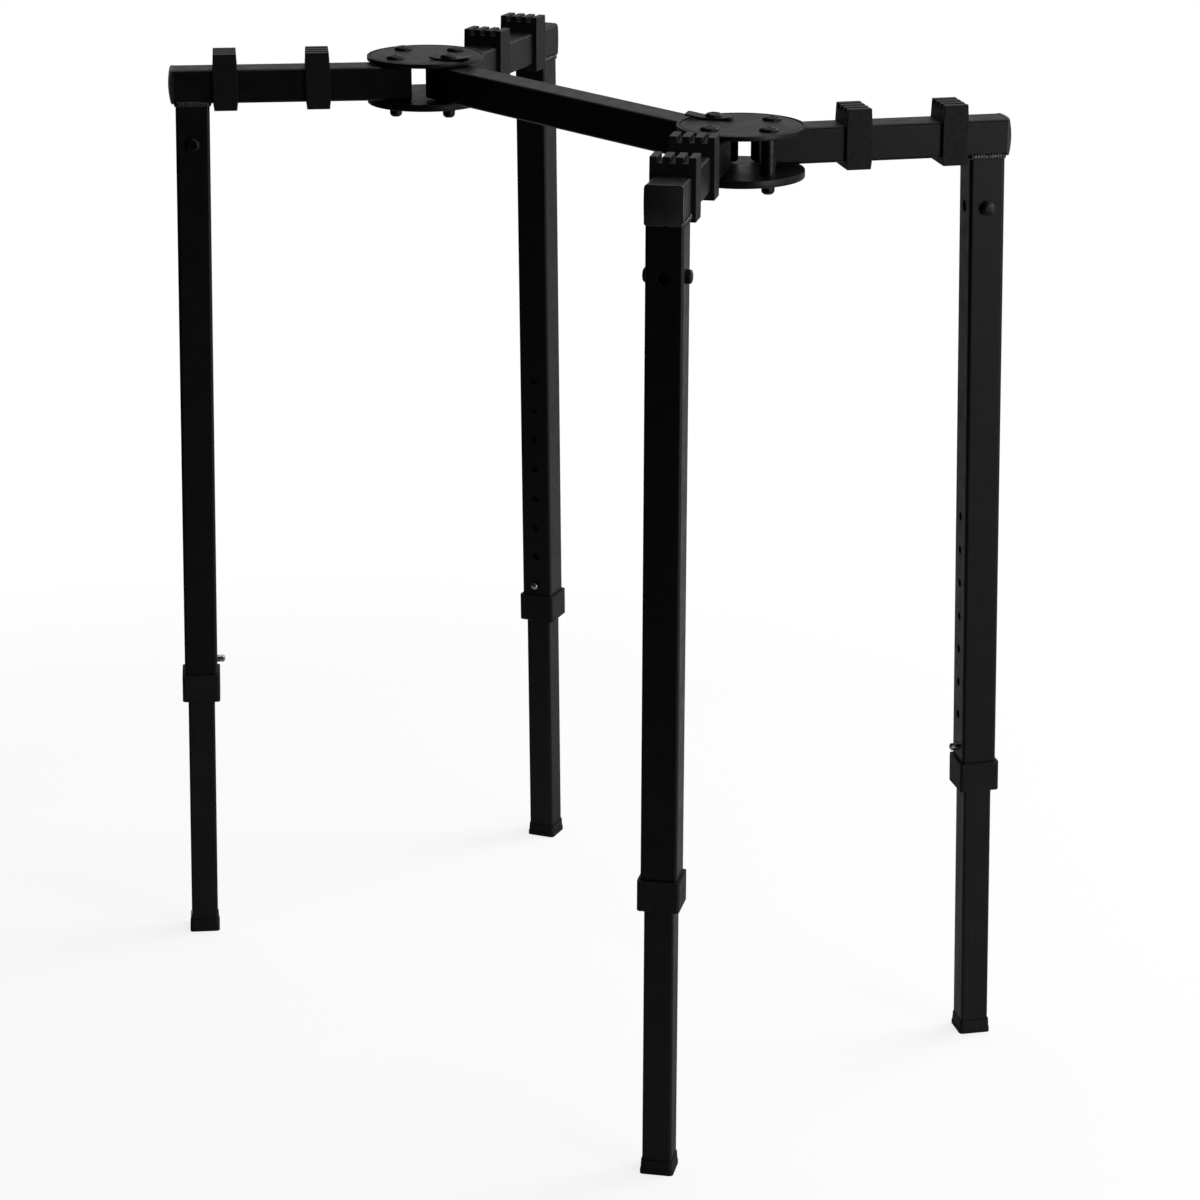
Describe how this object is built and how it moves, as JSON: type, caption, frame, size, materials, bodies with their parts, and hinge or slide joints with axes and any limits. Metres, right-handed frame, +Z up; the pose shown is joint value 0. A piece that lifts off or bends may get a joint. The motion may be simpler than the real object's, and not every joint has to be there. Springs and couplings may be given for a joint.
{
  "type": "keyboard stand",
  "caption": "Folding square-tube keyboard stand: a beam with round hub plates, swinging arms with ridged rubber grips, telescoping legs with snap-button locks.",
  "frame": {"origin": "on the floor under the middle of the space that the stand takes up; the cross beam's middle lies 9.6 mm towards -X and 6.8 mm towards -Y of it, because the arms stand at unequal angles as pictured", "axes": "+Z up, +X along the cross beam from the left hub to the right hub, +Y from the front arm's side towards the right arm's side"},
  "size_m": [0.8853, 0.559, 1.0589],
  "materials": {
    "powder_coated_steel": "satin black powder coat",
    "black_fasteners": "black oxide, semi-gloss",
    "plain_steel": "plain steel",
    "bright_steel": "polished",
    "black_plastic": "fine-grained matt",
    "black_rubber": "smooth, slightly glossy"
  },
  "bodies": {
    "hub_frame": {"cross_beam": "powder_coated_steel", "left_top_plate": "powder_coated_steel", "left_bottom_plate": "powder_coated_steel", "right_top_plate": "powder_coated_steel", "right_bottom_plate": "powder_coated_steel", "washers": "plain_steel", "pivot_sleeves": "plain_steel", "spacer_posts": "powder_coated_steel", "hub_bolts": "black_fasteners", "dome_nuts": "black_fasteners"},
    "left_wing": {"left_wing_lever": "powder_coated_steel", "left_clamp_bolt": "black_fasteners"},
    "right_wing": {"right_wing_lever": "powder_coated_steel", "right_clamp_bolt": "black_fasteners"},
    "left_arm": {"left_arm_tube": "powder_coated_steel", "left_arm_cap": "black_plastic", "left_grips": "black_rubber", "left_leg_tube": "powder_coated_steel", "left_cross_bolt": "black_fasteners", "left_collar": "black_plastic"},
    "left_lower_leg": {"left_inner_leg": "powder_coated_steel", "left_guide_plug": "black_plastic", "left_button_spring": "plain_steel", "left_foot": "black_rubber"},
    "left_button": {"left_snap_button": "bright_steel"},
    "rear_arm": {"rear_arm_tube": "powder_coated_steel", "rear_arm_cap": "black_plastic", "rear_grips": "black_rubber", "rear_leg_tube": "powder_coated_steel", "rear_cross_bolt": "black_fasteners", "rear_collar": "black_plastic"},
    "rear_lower_leg": {"rear_inner_leg": "powder_coated_steel", "rear_guide_plug": "black_plastic", "rear_button_spring": "plain_steel", "rear_foot": "black_rubber"},
    "rear_button": {"rear_snap_button": "bright_steel"},
    "front_arm": {"front_arm_tube": "powder_coated_steel", "front_arm_cap": "black_plastic", "front_grips": "black_rubber", "front_leg_tube": "powder_coated_steel", "front_cross_bolt": "black_fasteners", "front_collar": "black_plastic"},
    "front_lower_leg": {"front_inner_leg": "powder_coated_steel", "front_guide_plug": "black_plastic", "front_button_spring": "plain_steel", "front_foot": "black_rubber"},
    "front_button": {"front_snap_button": "bright_steel"},
    "right_arm": {"right_arm_tube": "powder_coated_steel", "right_arm_cap": "black_plastic", "right_grips": "black_rubber", "right_leg_tube": "powder_coated_steel", "right_cross_bolt": "black_fasteners", "right_collar": "black_plastic"},
    "right_lower_leg": {"right_inner_leg": "powder_coated_steel", "right_guide_plug": "black_plastic", "right_button_spring": "plain_steel", "right_foot": "black_rubber"},
    "right_button": {"right_snap_button": "bright_steel"}
  },
  "joints": [
    {"name": "left_wing_turn", "type": "hinge", "parent": "hub_frame", "child": "left_wing", "pos_m": [-0.237, -0.0068, 1.049], "axis": [0, 0, 1], "range_deg": [0, 180]},
    {"name": "right_wing_turn", "type": "hinge", "parent": "hub_frame", "child": "right_wing", "pos_m": [0.2178, -0.0068, 1.049], "axis": [0, 0, 1], "range_deg": [0, 180]},
    {"name": "left_arm_fold", "type": "hinge", "parent": "hub_frame", "child": "left_arm", "pos_m": [-0.2796, -0.0494, 1.022], "axis": [0, 0, 1], "range_deg": [-56.3, 122.2]},
    {"name": "left_leg_slide", "type": "slide", "parent": "left_arm", "child": "left_lower_leg", "axis": [0.0107, 0.016, 0.9998], "range_m": [0, 0.2274]},
    {"name": "left_button_press", "type": "slide", "parent": "left_lower_leg", "child": "left_button", "axis": [-0.5547, -0.8318, 0.0192], "range_m": [0, 0.0115], "stiffness_N_per_m": 900, "springref_m": -0.006, "deforming": ["left_button_spring"]},
    {"name": "rear_arm_fold", "type": "hinge", "parent": "hub_frame", "child": "rear_arm", "pos_m": [-0.2796, 0.0358, 1.022], "axis": [0, 0, -1], "range_deg": [-61.8, 116.7]},
    {"name": "rear_leg_slide", "type": "slide", "parent": "rear_arm", "child": "rear_lower_leg", "axis": [0.0091, -0.0169, 0.9998], "range_m": [0, 0.2274]},
    {"name": "rear_button_press", "type": "slide", "parent": "rear_lower_leg", "child": "rear_button", "axis": [-0.4725, 0.8811, 0.0192], "range_m": [0, 0.0115], "stiffness_N_per_m": 900, "springref_m": -0.006, "deforming": ["rear_button_spring"]},
    {"name": "front_arm_fold", "type": "hinge", "parent": "hub_frame", "child": "front_arm", "pos_m": [0.2604, -0.0494, 1.022], "axis": [0, 0, -1], "range_deg": [-50.9, 127.6]},
    {"name": "front_leg_slide", "type": "slide", "parent": "front_arm", "child": "front_lower_leg", "axis": [-0.0121, 0.0149, 0.9998], "range_m": [0, 0.2274]},
    {"name": "front_button_press", "type": "slide", "parent": "front_lower_leg", "child": "front_button", "axis": [0.6306, -0.7759, 0.0192], "range_m": [0, 0.0115], "stiffness_N_per_m": 900, "springref_m": -0.006, "deforming": ["front_button_spring"]},
    {"name": "right_arm_fold", "type": "hinge", "parent": "hub_frame", "child": "right_arm", "pos_m": [0.2604, 0.0358, 1.022], "axis": [0, 0, 1], "range_deg": [-62.8, 115.7]},
    {"name": "right_leg_slide", "type": "slide", "parent": "right_arm", "child": "right_lower_leg", "axis": [-0.0088, -0.0171, 0.9998], "range_m": [0, 0.2274]},
    {"name": "right_button_press", "type": "slide", "parent": "right_lower_leg", "child": "right_button", "axis": [0.457, 0.8893, 0.0192], "range_m": [0, 0.0115], "stiffness_N_per_m": 900, "springref_m": -0.006, "deforming": ["right_button_spring"]}
  ]
}
